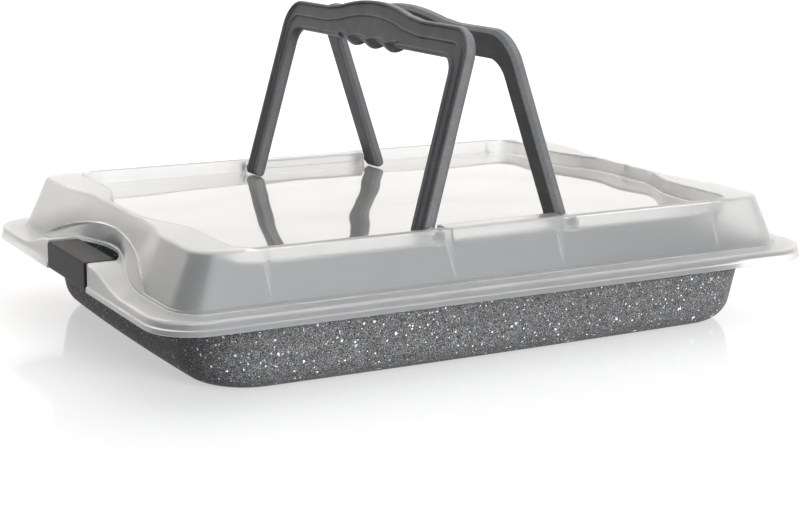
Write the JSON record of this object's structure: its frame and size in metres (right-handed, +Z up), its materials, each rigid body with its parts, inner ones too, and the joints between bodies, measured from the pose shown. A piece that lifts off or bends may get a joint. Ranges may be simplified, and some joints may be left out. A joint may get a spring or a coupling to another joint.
{
  "type": "cake pan with lid",
  "caption": "Rectangular oven cake pan of speckled coated steel with a translucent domed plastic lid, folding carrying handles and silicone end grips.",
  "frame": {"origin": "centre of the pan's base, on the surface it stands on", "axes": "+X along the pan's long side, +Y along its short side towards the back, +Z up"},
  "size_m": [0.42, 0.294, 0.1907],
  "materials": {
    "coated_steel": "satin dark grey coating with fine white specks",
    "silicone": "matte dark grey",
    "lid_plastic": "frosted translucent, glossy on its upper side",
    "handle_plastic": "fine grained dark grey"
  },
  "bodies": {
    "pan_with_lid": {"pan": "coated_steel", "grip_left": "silicone", "grip_right": "silicone", "lid": "lid_plastic"},
    "left_handle": {"handle_left": "handle_plastic"},
    "right_handle": {"handle_right": "handle_plastic"}
  },
  "joints": [
    {"name": "left_handle_fold", "type": "hinge", "parent": "pan_with_lid", "child": "left_handle", "pos_m": [-0.0437, 0, 0.0738], "axis": [0, 1, 0], "range_deg": [-105.3, 0]},
    {"name": "right_handle_fold", "type": "hinge", "parent": "pan_with_lid", "child": "right_handle", "pos_m": [0.0437, 0, 0.0738], "axis": [0, 1, 0], "range_deg": [0, 109.1]}
  ]
}
